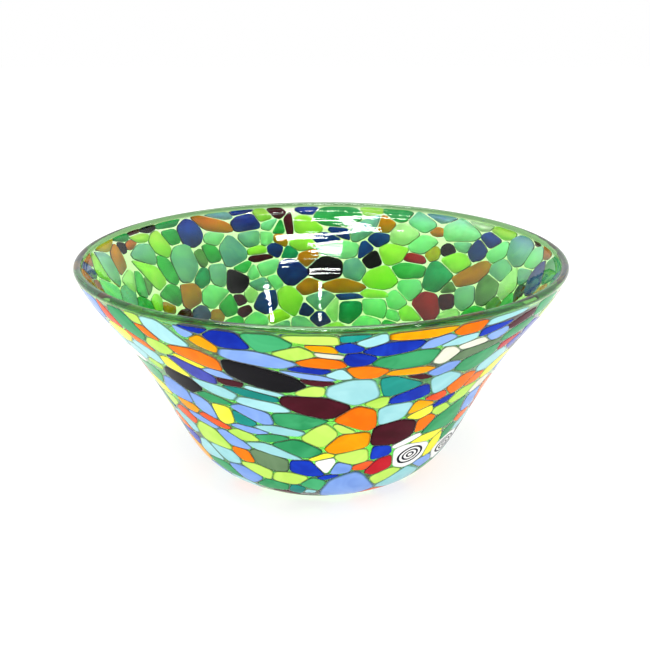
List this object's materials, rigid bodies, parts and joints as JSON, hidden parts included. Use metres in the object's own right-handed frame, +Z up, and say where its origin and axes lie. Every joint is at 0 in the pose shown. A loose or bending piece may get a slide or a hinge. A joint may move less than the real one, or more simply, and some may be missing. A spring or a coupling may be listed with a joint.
{
  "type": "art glass bowl",
  "caption": "Round blown glass bowl with a flared rim, its outside covered in fused chips of coloured glass over clear green.",
  "frame": {"origin": "middle of the base, on the surface that the bowl stands on", "axes": "+Z up along the bowl's axis; -Y is the front, with the most carefully matched chips; +X is to the right seen from the front"},
  "size_m": [0.15, 0.15, 0.07],
  "materials": {
    "green_clear_glass": "clear lime-green blown glass, fire polished",
    "cane_white_glass": "opaque white cane glass, glossy",
    "cane_dark_glass": "opaque blue-black cane glass, glossy",
    "orange_glass": "orange opaque chip glass, fused and glossy",
    "amber_glass": "amber opaque chip glass, fused and glossy",
    "red_orange_glass": "red orange opaque chip glass, fused and glossy",
    "red_glass": "red opaque chip glass, fused and glossy",
    "maroon_glass": "maroon opaque chip glass, fused and glossy",
    "black_glass": "black opaque chip glass, fused and glossy",
    "cobalt_glass": "cobalt opaque chip glass, fused and glossy",
    "violet_blue_glass": "violet blue opaque chip glass, fused and glossy",
    "periwinkle_glass": "periwinkle opaque chip glass, fused and glossy",
    "pale_turquoise_glass": "pale turquoise opaque chip glass, fused and glossy",
    "teal_glass": "teal opaque chip glass, fused and glossy",
    "sea_green_glass": "sea green opaque chip glass, fused and glossy",
    "lime_glass": "lime opaque chip glass, fused and glossy",
    "lemon_yellow_glass": "lemon yellow opaque chip glass, fused and glossy",
    "white_glass": "white opaque chip glass, fused and glossy",
    "ivory_glass": "ivory opaque chip glass, fused and glossy",
    "olive_glass": "olive opaque chip glass, fused and glossy"
  },
  "bodies": {
    "root": {"chips_amber": "amber_glass", "chips_black": "black_glass", "chips_cobalt": "cobalt_glass", "chips_ivory": "ivory_glass", "chips_lemon_yellow": "lemon_yellow_glass", "chips_lime": "lime_glass", "chips_maroon": "maroon_glass", "chips_olive": "olive_glass", "chips_orange": "orange_glass", "chips_pale_turquoise": "pale_turquoise_glass", "chips_periwinkle": "periwinkle_glass", "chips_red": "red_glass", "chips_red_orange": "red_orange_glass", "chips_sea_green": "sea_green_glass", "chips_teal": "teal_glass", "chips_violet_blue": "violet_blue_glass", "chips_white": "white_glass", "green_glass_bowl": "green_clear_glass", "murrine_dark_rings": "cane_dark_glass", "murrine_white_glass": "cane_white_glass"}
  },
  "joints": []
}
